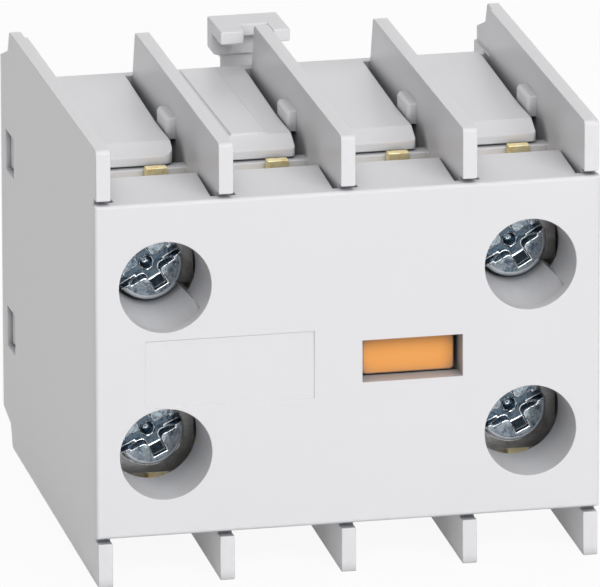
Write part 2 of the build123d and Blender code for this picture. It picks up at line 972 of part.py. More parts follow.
write_piece("housing", housing())
write_piece("front_cover", front_cover())
write_piece("rear_base", rear_base())
write_piece("release_latch", release_latch())
write_piece("latch_spring", latch_spring())
write_piece("contact_carrier", contact_carrier())
write_piece("indicator_flag", indicator_flag())
write_piece("return_spring", return_spring())
write_piece("fixed_tips", fixed_tips())
for side_name in ("left", "right"):
    write_piece(f"contact_bridge_{side_name}", contact_bridge(side_name))
    write_piece(f"moving_tips_{side_name}", moving_tips(side_name))
    write_piece(f"contact_spring_{side_name}", contact_spring(side_name))
    for level_name, level_sign in levels.items():
        place = f"{level_name}_{side_name}"
        write_piece(f"terminal_strip_{place}", terminal_strip(side_name, level_sign))
        write_piece(f"clamp_washer_{place}", clamp_washer(side_name, level_sign))
        write_piece(f"terminal_screw_{place}", terminal_screw(side_name, level_sign))
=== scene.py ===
"""Auxiliary contact block, dressed for a studio picture.

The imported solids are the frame: X to the right, Y from the front face to the back and Z up,
in metres. The mouldings and the flat metal pieces keep their solids and get softened edges.
The screws and the springs are modelled here, in place of the plain solids that stand for them.
"""
import json
import logging
import math
from dataclasses import dataclass, field
from enum import Enum
from typing import Callable

import bpy
from mathutils import Matrix, Vector

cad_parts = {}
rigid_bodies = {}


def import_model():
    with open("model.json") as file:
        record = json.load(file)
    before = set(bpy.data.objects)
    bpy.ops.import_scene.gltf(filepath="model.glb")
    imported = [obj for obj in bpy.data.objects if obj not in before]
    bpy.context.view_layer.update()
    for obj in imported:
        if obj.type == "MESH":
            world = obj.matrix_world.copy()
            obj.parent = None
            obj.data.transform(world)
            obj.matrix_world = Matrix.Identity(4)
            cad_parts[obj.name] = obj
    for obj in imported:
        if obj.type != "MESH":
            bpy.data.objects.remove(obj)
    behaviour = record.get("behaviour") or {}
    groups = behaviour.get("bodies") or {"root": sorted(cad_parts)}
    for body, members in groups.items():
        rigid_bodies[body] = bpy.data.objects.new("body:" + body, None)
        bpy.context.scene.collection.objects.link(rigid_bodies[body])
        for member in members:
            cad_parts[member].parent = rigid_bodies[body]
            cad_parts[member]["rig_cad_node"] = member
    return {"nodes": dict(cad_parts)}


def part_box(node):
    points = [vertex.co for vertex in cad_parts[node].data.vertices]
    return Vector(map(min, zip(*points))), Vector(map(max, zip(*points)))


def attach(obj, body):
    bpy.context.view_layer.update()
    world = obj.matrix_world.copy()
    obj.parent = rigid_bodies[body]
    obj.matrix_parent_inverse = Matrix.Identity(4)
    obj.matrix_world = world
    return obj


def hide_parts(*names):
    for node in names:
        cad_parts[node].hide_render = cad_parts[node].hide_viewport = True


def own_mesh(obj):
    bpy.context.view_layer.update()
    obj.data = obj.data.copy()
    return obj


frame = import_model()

LOG = logging.getLogger("contact_block")
MM = 0.001
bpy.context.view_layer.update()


class Body(str, Enum):
    """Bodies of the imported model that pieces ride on."""

    BLOCK = "block"
    CARRIER = "carrier"


class Axis(str, Enum):
    """Axes that a spring is wound along."""

    Y = "y"
    Z = "z"


class Cut(str, Enum):
    """What a tool does to the piece that it meets."""

    UNION = "UNION"
    DIFFERENCE = "DIFFERENCE"


class Slot(str, Enum):
    """Material slots of the record."""

    BODY = "body_plastic"
    COVER = "cover_plastic"
    BASE = "base_plastic"
    LATCH = "latch_plastic"
    CARRIER = "carrier_plastic"
    FLAG = "flag_orange"
    STRIP = "strip_brass"
    BRIDGE = "bridge_brass"
    SILVER = "contact_silver"
    WASHER = "washer_zinc"
    SCREW = "screw_zinc"
    SPRING = "spring_steel"


HIGHLIGHT_MARK = "rim"
SIDES = ("left", "right")
LEVELS = ("upper", "lower")

TINY = 1e-6

Colour = tuple[float, float, float]
Place = tuple[float, float, float]

WHITE = (1.0, 1.0, 1.0, 1.0)
GRAIN_SCALE = 5200.0
CLOUD_SCALE = 130.0
LINE_SCALE = 900.0
BLOTCH_SCALE = 420.0
# Reach of the ambient occlusion that finds the gaps for the painted shade.
GAP_REACH = 1.6 * MM

# Shader building


@dataclass
class NodeTree:
    """A node tree that is filled node by node."""

    tree: bpy.types.NodeTree

    def add(self, kind: str, **values: object) -> bpy.types.Node:
        """Add a node.

        Args:
            kind: The node's type name.
            values: Properties of the node, or input sockets where the name starts with in_.

        Returns:
            The new node.
        """
        node = self.tree.nodes.new(kind)
        for name, value in values.items():
            if name.startswith("in_"):
                node.inputs[name[3:].replace("_", " ")].default_value = value
            else:
                setattr(node, name, value)
        return node

    def link(self, out: bpy.types.NodeSocket, into: bpy.types.NodeSocket) -> None:
        """Join two sockets.

        Args:
            out: The socket that gives the value.
            into: The socket that takes it.
        """
        self.tree.links.new(out, into)


@dataclass(frozen=True)
class GroupSocket:
    """One named input of a shader group."""

    name: str
    value: float


GroupParts = tuple[NodeTree, bpy.types.Node, bpy.types.Node]


@dataclass
class ShaderGroups:
    """Effects that more than one finish uses, each built once."""

    cloud_share: float = 0.75
    speck_height: float = 0.5
    pit_height: float = 0.6
    stain_from: float = 0.48
    stain_to: float = 0.68
    # Settings of the mask for the painted shade in gaps and inner corners.
    gap_shut: float = 0.15
    gap_open: float = 0.85
    gap_rays: int = 8

    def __post_init__(self) -> None:
        """Build every group."""
        self.moulded_grain = self._moulded_grain()
        self.rubbed_metal = self._rubbed_metal()
        self.painted_corner_shade = self._painted_corner_shade()

    @staticmethod
    def _group(name: str, inputs: list[GroupSocket], outputs: list[str]) -> GroupParts:
        """Start a group with its sockets.

        Args:
            name: Name of the group.
            inputs: Its float inputs with their usual values.
            outputs: Names of its float outputs.

        Returns:
            The tree, its input node and its output node.
        """
        tree = bpy.data.node_groups.new(name, "ShaderNodeTree")
        for socket in inputs:
            made = tree.interface.new_socket(
                socket.name, in_out="INPUT", socket_type="NodeSocketFloat"
            )
            made.default_value = socket.value
        for label in outputs:
            tree.interface.new_socket(label, in_out="OUTPUT", socket_type="NodeSocketFloat")
        nodes = NodeTree(tree)
        return nodes, nodes.add("NodeGroupInput"), nodes.add("NodeGroupOutput")

    def _moulded_grain(self) -> bpy.types.NodeTree:
        """Fine spark grain of a mould with slow clouds of tone.

        Returns:
            The group, with a tone from 0 to 1, a height and a roughness offset.
        """
        nodes, given, result = self._group(
            "moulded_grain",
            [GroupSocket("Grain Scale", GRAIN_SCALE), GroupSocket("Cloud Scale", CLOUD_SCALE)],
            ["Tone", "Height", "Gloss"],
        )
        place = nodes.add("ShaderNodeTexCoord")
        grain = nodes.add("ShaderNodeTexNoise", in_Detail=3.0, in_Roughness=0.62)
        cloud = nodes.add("ShaderNodeTexNoise", in_Detail=4.0, in_Roughness=0.5)
        speck = nodes.add("ShaderNodeTexVoronoi", feature="F1")
        scales = {grain: "Grain Scale", cloud: "Cloud Scale", speck: "Grain Scale"}
        for node, socket in scales.items():
            nodes.link(place.outputs["Object"], node.inputs["Vector"])
            nodes.link(given.outputs[socket], node.inputs["Scale"])
        tone = nodes.add("ShaderNodeMath", operation="MULTIPLY_ADD")
        tone.inputs[1].default_value = self.cloud_share
        part = nodes.add("ShaderNodeMath", operation="MULTIPLY")
        part.inputs[1].default_value = 1.0 - self.cloud_share
        nodes.link(grain.outputs["Fac"], part.inputs[0])
        nodes.link(cloud.outputs["Fac"], tone.inputs[0])
        nodes.link(part.outputs[0], tone.inputs[2])
        height = nodes.add("ShaderNodeMath", operation="MULTIPLY_ADD")
        height.inputs[1].default_value = self.speck_height
        nodes.link(speck.outputs["Distance"], height.inputs[0])
        nodes.link(grain.outputs["Fac"], height.inputs[2])
        nodes.link(tone.outputs[0], result.inputs["Tone"])
        nodes.link(height.outputs[0], result.inputs["Height"])
        nodes.link(cloud.outputs["Fac"], result.inputs["Gloss"])
        return nodes.tree

    def _rubbed_metal(self) -> bpy.types.NodeTree:
        """Rolled or pressed metal: fine lines one way, blotches of plating and small pits.

        Returns:
            The group, with a tone from 0 to 1, a height, a gloss and a stain mask.
        """
        nodes, given, result = self._group(
            "rubbed_metal",
            [GroupSocket("Line Scale", LINE_SCALE), GroupSocket("Blotch Scale", BLOTCH_SCALE)],
            ["Tone", "Height", "Gloss", "Stain"],
        )
        nodes.tree.interface.new_socket(
            "Line Place", in_out="INPUT", socket_type="NodeSocketVector"
        )
        place = nodes.add("ShaderNodeTexCoord")
        lines = nodes.add("ShaderNodeTexNoise", in_Detail=2.0, in_Roughness=0.5)
        blotch = nodes.add("ShaderNodeTexNoise", in_Detail=5.0, in_Roughness=0.6)
        pits = nodes.add("ShaderNodeTexVoronoi", feature="F1")
        nodes.link(given.outputs["Line Place"], lines.inputs["Vector"])
        nodes.link(place.outputs["Object"], blotch.inputs["Vector"])
        nodes.link(place.outputs["Object"], pits.inputs["Vector"])
        nodes.link(given.outputs["Line Scale"], lines.inputs["Scale"])
        nodes.link(given.outputs["Blotch Scale"], blotch.inputs["Scale"])
        nodes.link(given.outputs["Line Scale"], pits.inputs["Scale"])
        stain = nodes.add("ShaderNodeMapRange", interpolation_type="SMOOTHSTEP")
        stain.inputs["From Min"].default_value = self.stain_from
        stain.inputs["From Max"].default_value = self.stain_to
        nodes.link(blotch.outputs["Fac"], stain.inputs["Value"])
        height = nodes.add("ShaderNodeMath", operation="MULTIPLY_ADD")
        height.inputs[1].default_value = self.pit_height
        nodes.link(pits.outputs["Distance"], height.inputs[0])
        nodes.link(lines.outputs["Fac"], height.inputs[2])
        nodes.link(lines.outputs["Fac"], result.inputs["Tone"])
        nodes.link(height.outputs[0], result.inputs["Height"])
        nodes.link(blotch.outputs["Fac"], result.inputs["Gloss"])
        nodes.link(stain.outputs[0], result.inputs["Stain"])
        return nodes.tree

    def _painted_corner_shade(self) -> bpy.types.NodeTree:
        """Mask of narrow gaps and inner corners from ambient occlusion, for painted shade on the
        mouldings.

        Returns:
            The group, with a mask that is 1 deep in a gap and 0 on an open face.
        """
        nodes, given, result = self._group(
            "painted_corner_shade",
            [GroupSocket("Reach", GAP_REACH), GroupSocket("Open From", self.gap_open)],
            ["Corner"],
        )
        near = nodes.add(
            "ShaderNodeAmbientOcclusion", samples=self.gap_rays, only_local=False
        )
        nodes.link(given.outputs["Reach"], near.inputs["Distance"])
        mask = nodes.add("ShaderNodeMapRange", interpolation_type="SMOOTHSTEP")
        mask.inputs["From Min"].default_value = self.gap_shut
        mask.inputs["To Min"].default_value = 1.0
        mask.inputs["To Max"].default_value = 0.0
        nodes.link(given.outputs["Open From"], mask.inputs["From Max"])
        nodes.link(near.outputs["AO"], mask.inputs["Value"])
        nodes.link(mask.outputs[0], result.inputs["Corner"])
        return nodes.tree


@dataclass(frozen=True)
class MouldedPlastic:
    """Moulded plastic with spark grain, a slight cloud of tone and painted shade in its gaps and
    inner corners.
    """

    name: str
    low: Colour
    high: Colour
    roughness: float = 0.42
    roughness_swing: float = 0.01
    grain_scale: float = GRAIN_SCALE
    cloud_scale: float = CLOUD_SCALE
    bump: float = 0.02
    bump_depth: float = 0.012 * MM
    shine: float = 0.12
    # Colour and share of the painted shade in gaps and inner corners, and the reach of its
    # occlusion rays.
    corner: Colour = (0.16, 0.18, 0.20)
    gap_shade_share: float = 0.75
    gap_shade_reach: float = GAP_REACH

    def build(self, groups: ShaderGroups) -> bpy.types.Material:
        """Make the material.

        Args:
            groups: The shared shader groups.

        Returns:
            The finished material.
        """
        material = bpy.data.materials.new(self.name)
        material.use_nodes = True
        nodes = NodeTree(material.node_tree)
        surface = material.node_tree.nodes["Principled BSDF"]
        surface.inputs["Specular IOR Level"].default_value = self.shine
        grain = nodes.add("ShaderNodeGroup", node_tree=groups.moulded_grain)
        grain.inputs["Grain Scale"].default_value = self.grain_scale
        grain.inputs["Cloud Scale"].default_value = self.cloud_scale
        blend = nodes.add("ShaderNodeMix", data_type="RGBA")
        blend.inputs["A"].default_value = (*self.low, 1.0)
        blend.inputs["B"].default_value = (*self.high, 1.0)
        nodes.link(grain.outputs["Tone"], blend.inputs["Factor"])
        # Painted shade: ambient occlusion pulls the colour toward a dark grey in gaps and inner
        # corners.
        corners = nodes.add("ShaderNodeGroup", node_tree=groups.painted_corner_shade)
        corners.inputs["Reach"].default_value = self.gap_shade_reach
        share = nodes.add("ShaderNodeMath", operation="MULTIPLY")
        share.inputs[1].default_value = self.gap_shade_share
        nodes.link(corners.outputs["Corner"], share.inputs[0])
        shaded_colour = nodes.add("ShaderNodeMix", data_type="RGBA")
        shaded_colour.inputs["B"].default_value = (*self.corner, 1.0)
        nodes.link(share.outputs[0], shaded_colour.inputs["Factor"])
        nodes.link(blend.outputs["Result"], shaded_colour.inputs["A"])
        nodes.link(shaded_colour.outputs["Result"], surface.inputs["Base Color"])
        gloss = nodes.add("ShaderNodeMapRange")
        gloss.inputs["To Min"].default_value = self.roughness - self.roughness_swing
        gloss.inputs["To Max"].default_value = self.roughness + self.roughness_swing
        nodes.link(grain.outputs["Gloss"], gloss.inputs["Value"])
        nodes.link(gloss.outputs[0], surface.inputs["Roughness"])
        bump = nodes.add("ShaderNodeBump", in_Strength=self.bump, in_Distance=self.bump_depth)
        nodes.link(grain.outputs["Height"], bump.inputs["Height"])
        nodes.link(bump.outputs[0], surface.inputs["Normal"])
        return material


@dataclass(frozen=True)
class PlatedMetal:
    """Metal with a rolled or plated skin: lines, blotches, pits and a stain colour."""

    name: str
    low: Colour
    high: Colour
    stain: Colour
    roughness: float = 0.28
    roughness_swing: float = 0.14
    line_scale: float = LINE_SCALE
    blotch_scale: float = BLOTCH_SCALE
    stretch: Place = (1.0, 0.35, 7.0)
    bump: float = 0.25
    bump_depth: float = 0.02 * MM

    def build(self, groups: ShaderGroups) -> bpy.types.Material:
        """Make the material.

        Args:
            groups: The shared shader groups.

        Returns:
            The finished material.
        """
        material = bpy.data.materials.new(self.name)
        material.use_nodes = True
        nodes = NodeTree(material.node_tree)
        surface = material.node_tree.nodes["Principled BSDF"]
        surface.inputs["Metallic"].default_value = 1.0
        skin = nodes.add("ShaderNodeGroup", node_tree=groups.rubbed_metal)
        place = nodes.add("ShaderNodeTexCoord")
        lay = nodes.add("ShaderNodeMapping", vector_type="POINT")
        lay.inputs["Scale"].default_value = self.stretch
        nodes.link(place.outputs["Object"], lay.inputs["Vector"])
        nodes.link(lay.outputs[0], skin.inputs["Line Place"])
        skin.inputs["Line Scale"].default_value = self.line_scale
        skin.inputs["Blotch Scale"].default_value = self.blotch_scale
        base = nodes.add("ShaderNodeMix", data_type="RGBA")
        base.inputs["A"].default_value = (*self.low, 1.0)
        base.inputs["B"].default_value = (*self.high, 1.0)
        nodes.link(skin.outputs["Tone"], base.inputs["Factor"])
        tint = nodes.add("ShaderNodeMix", data_type="RGBA")
        tint.inputs["B"].default_value = (*self.stain, 1.0)
        nodes.link(skin.outputs["Stain"], tint.inputs["Factor"])
        nodes.link(base.outputs["Result"], tint.inputs["A"])
        nodes.link(tint.outputs["Result"], surface.inputs["Base Color"])
        gloss = nodes.add("ShaderNodeMapRange")
        gloss.inputs["To Min"].default_value = self.roughness - self.roughness_swing
        gloss.inputs["To Max"].default_value = self.roughness + self.roughness_swing
        nodes.link(skin.outputs["Gloss"], gloss.inputs["Value"])
        nodes.link(gloss.outputs[0], surface.inputs["Roughness"])
        bump = nodes.add("ShaderNodeBump", in_Strength=self.bump, in_Distance=self.bump_depth)
        nodes.link(skin.outputs["Height"], bump.inputs["Height"])
        nodes.link(bump.outputs[0], surface.inputs["Normal"])
        return material


@dataclass(frozen=True)
class PaintedLightScrew(PlatedMetal):
    """Plated screw metal, with painted shade down in the recess and a painted highlight on its
    rims.
    """

    # Colours of the painted shade in the recess and of the painted highlight on the rims, and
    # where the shade starts and ends.
    recess_shade: Colour = (0.07, 0.11, 0.15)
    rim: Colour = (0.93, 0.96, 0.98)
    recess_shade_start: float = 0.20 * MM
    recess_shade_end: float = 0.75 * MM
    recess_shade_share: float = 0.85
    head_front: float = -15.4 * MM

    def build(self, groups: ShaderGroups) -> bpy.types.Material:
        """Make the material.

        Args:
            groups: The shared shader groups.

        Returns:
            The finished material.
        """
        material = super().build(groups)
        nodes = NodeTree(material.node_tree)
        surface = material.node_tree.nodes["Principled BSDF"]
        colour = surface.inputs["Base Color"].links[0].from_socket
        place = nodes.add("ShaderNodeTexCoord")
        parts = nodes.add("ShaderNodeSeparateXYZ")
        nodes.link(place.outputs["Object"], parts.inputs[0])
        # Painted shade: the colour darkens with depth into the recess.
        depth = nodes.add("ShaderNodeMapRange", interpolation_type="SMOOTHSTEP")
        depth.inputs["From Min"].default_value = self.head_front + self.recess_shade_start
        depth.inputs["From Max"].default_value = self.head_front + self.recess_shade_end
        depth.inputs["To Max"].default_value = self.recess_shade_share
        nodes.link(parts.outputs["Y"], depth.inputs["Value"])
        dark = nodes.add("ShaderNodeMix", data_type="RGBA")
        dark.inputs["B"].default_value = (*self.recess_shade, 1.0)
        nodes.link(depth.outputs[0], dark.inputs["Factor"])
        nodes.link(colour, dark.inputs["A"])
        # Painted highlight: faces marked as rims turn near white.
        rim = nodes.add("ShaderNodeAttribute", attribute_name=HIGHLIGHT_MARK)
        bright = nodes.add("ShaderNodeMix", data_type="RGBA")
        bright.inputs["B"].default_value = (*self.rim, 1.0)
        nodes.link(rim.outputs["Fac"], bright.inputs["Factor"])
        nodes.link(dark.outputs["Result"], bright.inputs["A"])
        nodes.link(bright.outputs["Result"], surface.inputs["Base Color"])
        return material


Finish = MouldedPlastic | PlatedMetal

GREY_LOW = (0.712, 0.707, 0.722)
GREY_HIGH = (0.738, 0.732, 0.748)

FINISHES: dict[Slot, Finish] = {
    Slot.BODY: MouldedPlastic("light grey body moulding", GREY_LOW, GREY_HIGH, roughness=0.29),
    # The cover's painted shade reaches far enough to darken the inside of the terminal wells.
    Slot.COVER: MouldedPlastic(
        "light grey cover moulding", GREY_LOW, GREY_HIGH, roughness=0.33,
        gap_shade_share=0.6, gap_shade_reach=6.0 * MM,
    ),
    Slot.BASE: MouldedPlastic("light grey base moulding", GREY_LOW, GREY_HIGH, roughness=0.28),
    Slot.LATCH: MouldedPlastic("light grey latch moulding", GREY_LOW, GREY_HIGH, roughness=0.29),
    Slot.CARRIER: MouldedPlastic(
        "dark carrier moulding", (0.012, 0.012, 0.014), (0.022, 0.022, 0.024),
        roughness=0.48, shine=0.5,
    ),
    Slot.FLAG: MouldedPlastic(
        "orange flag moulding", (0.80, 0.33, 0.068), (0.87, 0.38, 0.094),
        roughness=0.38, shine=0.5,
    ),
    Slot.STRIP: PlatedMetal(
        "stamped brass strip", (0.98, 0.83, 0.45), (1.0, 0.94, 0.66), (0.86, 0.66, 0.30),
        roughness=0.5, line_scale=2200.0, blotch_scale=1400.0, stretch=(1.0, 1.0, 1.0), bump=0.3,
    ),
    Slot.BRIDGE: PlatedMetal(
        "stamped brass bridge", (0.68, 0.42, 0.16), (0.82, 0.56, 0.26), (0.52, 0.28, 0.10)
    ),
    Slot.SILVER: PlatedMetal(
        "silver contact alloy", (0.72, 0.71, 0.68), (0.86, 0.85, 0.82), (0.55, 0.53, 0.50)
    ),
    Slot.WASHER: PlatedMetal(
        "zinc plated washer", (0.50, 0.50, 0.50), (0.74, 0.73, 0.71), (0.40, 0.38, 0.36),
        roughness=0.38,
    ),
    Slot.SCREW: PaintedLightScrew(
        "blue zinc plated screw", (0.20, 0.25, 0.29), (0.58, 0.65, 0.70), (0.10, 0.15, 0.21),
        roughness=0.20, roughness_swing=0.10, line_scale=3200.0, blotch_scale=1500.0,
        stretch=(1.0, 1.0, 1.0), bump=0.55, bump_depth=0.05 * MM,
    ),
    Slot.SPRING: PlatedMetal(
        "drawn spring wire", (0.42, 0.42, 0.42), (0.58, 0.58, 0.58), (0.33, 0.32, 0.31)
    ),
}


class Palette:
    """Every material of the block, made once and handed out by slot."""

    def __init__(self) -> None:
        """Build the groups and all the finishes."""
        self.groups = ShaderGroups()
        self.materials = {
            slot: finish.build(self.groups) for slot, finish in FINISHES.items()
        }

    def dress(self, piece: bpy.types.Object, slot: Slot) -> None:
        """Give a piece one material, the one that stands for a slot.

        Args:
            piece: The object to dress.
            slot: The record's slot that the finish stands for.
        """
        piece.data.materials.clear()
        piece.data.materials.append(self.materials[slot])


# Modelling helpers


def only(piece: bpy.types.Object) -> None:
    """Select one object and make it the active one.

    Args:
        piece: The object to work on.
    """
    bpy.ops.object.select_all(action="DESELECT")
    piece.select_set(True)
    bpy.context.view_layer.objects.active = piece


def pick_faces(piece: bpy.types.Object, test: Callable[[Vector, Vector], bool]) -> None:
    """Select the faces that pass a test, and nothing else, and go into edit mode.

    Args:
        piece: The object whose faces are picked.
        test: Takes a face's centre and normal and says whether it is picked.
    """
    only(piece)
    bpy.ops.object.mode_set(mode="EDIT")
    bpy.ops.mesh.select_mode(type="FACE")
    bpy.ops.mesh.select_all(action="DESELECT")
    bpy.ops.object.mode_set(mode="OBJECT")
    for face in piece.data.polygons:
        face.select = test(face.center, face.normal)
    bpy.ops.object.mode_set(mode="EDIT")


def settle(piece: bpy.types.Object) -> None:
    """Put a piece's place into its mesh, with its object at the origin.

    Args:
        piece: The object to settle.
    """
    only(piece)
    bpy.ops.object.transform_apply(location=True, rotation=True, scale=True)


def apply_modifier(piece: bpy.types.Object, kind: str, **values: object) -> None:
    """Add a modifier, set it and apply it.

    Args:
        piece: The object that gets it.
        kind: Type of the modifier.
        values: Its settings.
    """
    only(piece)
    modifier = piece.modifiers.new(kind.lower(), kind)
    for name, value in values.items():
        setattr(modifier, name, value)
    bpy.ops.object.modifier_apply(modifier=modifier.name)


def smooth(piece: bpy.types.Object, degrees: float) -> None:
    """Shade a piece smooth but for its sharper edges.

    Args:
        piece: The object to shade.
        degrees: Edges sharper than this stay crisp.
    """
    only(piece)
    bpy.ops.object.shade_smooth_by_angle(angle=math.radians(degrees))


def pick_edges(piece: bpy.types.Object, test: Callable[[Vector, Vector], bool]) -> None:
    """Select the edges that pass a test, and nothing else, and go into edit mode.

    Args:
        piece: The object whose edges are picked.
        test: Takes the places of an edge's two ends and says whether it is picked.
    """
    only(piece)
    bpy.ops.object.mode_set(mode="EDIT")
    bpy.ops.mesh.select_mode(type="EDGE")
    bpy.ops.mesh.select_all(action="DESELECT")
    bpy.ops.object.mode_set(mode="OBJECT")
    places = piece.data.vertices
    for edge in piece.data.edges:
        edge.select = test(*(places[end].co for end in edge.vertices))
    bpy.ops.object.mode_set(mode="EDIT")


def round_bar(
    name: str, radius: float, start: float, end: float, sides: int
) -> bpy.types.Object:
    """Add a round bar along Y.

    Args:
        name: Name of the bar.
        radius: Its radius.
        start: Its front end.
        end: Its back end.
        sides: Number of sides.

    Returns:
        The bar.
    """
    bpy.ops.object.select_all(action="DESELECT")
    bpy.ops.mesh.primitive_cylinder_add(
        vertices=sides,
        radius=radius,
        depth=end - start,
        location=(0.0, (start + end) / 2, 0.0),
        rotation=(math.pi / 2, 0.0, 0.0),
    )
    piece = bpy.context.active_object
    piece.name = name
    settle(piece)
    return piece


def bar(name: str, width: float, height: float, start: float, end: float) -> bpy.types.Object:
    """Add a square bar along Y, centred on the axis.

    Args:
        name: Name of the bar.
        width: Its size along X.
        height: Its size along Z.
        start: Its front end.
        end: Its back end.

    Returns:
        The bar.
    """
    bpy.ops.object.select_all(action="DESELECT")
    bpy.ops.mesh.primitive_cube_add(
        size=1.0, location=(0.0, (start + end) / 2, 0.0), scale=(width, end - start, height)
    )
    piece = bpy.context.active_object
    piece.name = name
    settle(piece)
    return piece


def combine(piece: bpy.types.Object, tool: bpy.types.Object, how: Cut) -> None:
    """Join a tool to a piece, or cut it out, and delete the tool.

    Args:
        piece: The piece that changes.
        tool: The tool.
        how: Whether the tool is joined or cut out.
    """
    apply_modifier(piece, "BOOLEAN", object=tool, operation=how.value, solver="EXACT")
    bpy.data.objects.remove(tool)


def join(piece: bpy.types.Object, others: list[bpy.types.Object]) -> None:
    """Join other pieces into one.

    Args:
        piece: The piece that takes them.
        others: The pieces that it takes.
    """
    only(piece)
    for other in others:
        other.select_set(True)
    bpy.ops.object.join()


def copy_piece(piece: bpy.types.Object, name: str) -> bpy.types.Object:
    """Copy a piece with its own mesh.

    Args:
        piece: The piece to copy.
        name: Name of the copy.

    Returns:
        The copy.
    """
    twin = bpy.data.objects.new(name, piece.data.copy())
    bpy.context.scene.collection.objects.link(twin)
    return twin


def close_ends(piece: bpy.types.Object) -> None:
    """Merge doubles, close open ends and turn every face outwards.

    Args:
        piece: The piece to close.
    """
    only(piece)
    bpy.ops.object.mode_set(mode="EDIT")
    bpy.ops.mesh.select_mode(type="EDGE")
    bpy.ops.mesh.select_all(action="SELECT")
    bpy.ops.mesh.remove_doubles(threshold=TINY)
    bpy.ops.mesh.select_all(action="DESELECT")
    bpy.ops.mesh.select_non_manifold()
    bpy.ops.mesh.fill_holes(sides=0)
    bpy.ops.mesh.select_all(action="SELECT")
    bpy.ops.mesh.normals_make_consistent(inside=False)
    bpy.ops.object.mode_set(mode="OBJECT")


# Sub-assemblies


@dataclass(frozen=True)
class Edge:
    """Finish of one moulding and the width of its rounded edges."""

    slot: Slot
    width: float


@dataclass
class Mouldings:
    """The plastic mouldings and flat metal pieces, whose solids already have their shape."""

    merge: float = 2e-6
    flat: float = math.radians(0.5)
    sharp: float = math.radians(12.0)
    segments: int = 2
    even_weight: int = 50
    metal_round: float = 0.06 * MM
    plastics: dict[str, Edge] = field(
        default_factory=lambda: {
            "housing": Edge(Slot.BODY, 0.09 * MM),
            "front_cover": Edge(Slot.COVER, 0.07 * MM),
            "rear_base": Edge(Slot.BASE, 0.095 * MM),
            "release_latch": Edge(Slot.LATCH, 0.16 * MM),
            "contact_carrier": Edge(Slot.CARRIER, 0.10 * MM),
            "indicator_flag": Edge(Slot.FLAG, 0.18 * MM),
        }
    )

    def metals(self) -> dict[str, Slot]:
        """Metal nodes that keep their solids.

        Returns:
            Slot by node name.
        """
        found = {"fixed_tips": Slot.SILVER}
        for side in SIDES:
            found[f"contact_bridge_{side}"] = Slot.BRIDGE
            found[f"moving_tips_{side}"] = Slot.SILVER
            for level in LEVELS:
                found[f"terminal_strip_{level}_{side}"] = Slot.STRIP
                found[f"clamp_washer_{level}_{side}"] = Slot.WASHER
        return found

    def soften(self, piece: bpy.types.Object, width: float) -> None:
        """Round the edges of a solid by modifiers that stay live.

        Args:
            piece: The solid's object.
            width: Width of the rounding.
        """
        only(piece)
        bpy.ops.object.shade_smooth()
        weld = piece.modifiers.new("join", "WELD")
        weld.merge_threshold = self.merge
        flat = piece.modifiers.new("flat", "DECIMATE")
        flat.decimate_type = "DISSOLVE"
        flat.angle_limit = self.flat
        bevel = piece.modifiers.new("round", "BEVEL")
        bevel.width = width
        bevel.segments = self.segments
        bevel.limit_method = "ANGLE"
        bevel.angle_limit = self.sharp
        bevel.use_clamp_overlap = False
        even = piece.modifiers.new("even", "WEIGHTED_NORMAL")
        even.mode = "FACE_AREA"
        even.weight = self.even_weight
        even.keep_sharp = False

    def build(self, palette: Palette) -> None:
        """Dress and soften every solid that stays.

        Args:
            palette: The block's materials.
        """
        for name, edge in self.plastics.items():
            palette.dress(frame["nodes"][name], edge.slot)
            self.soften(frame["nodes"][name], edge.width)
            LOG.info("moulding %s", name)
        for name, slot in self.metals().items():
            palette.dress(frame["nodes"][name], slot)
            self.soften(frame["nodes"][name], self.metal_round)
            LOG.info("metal %s", name)


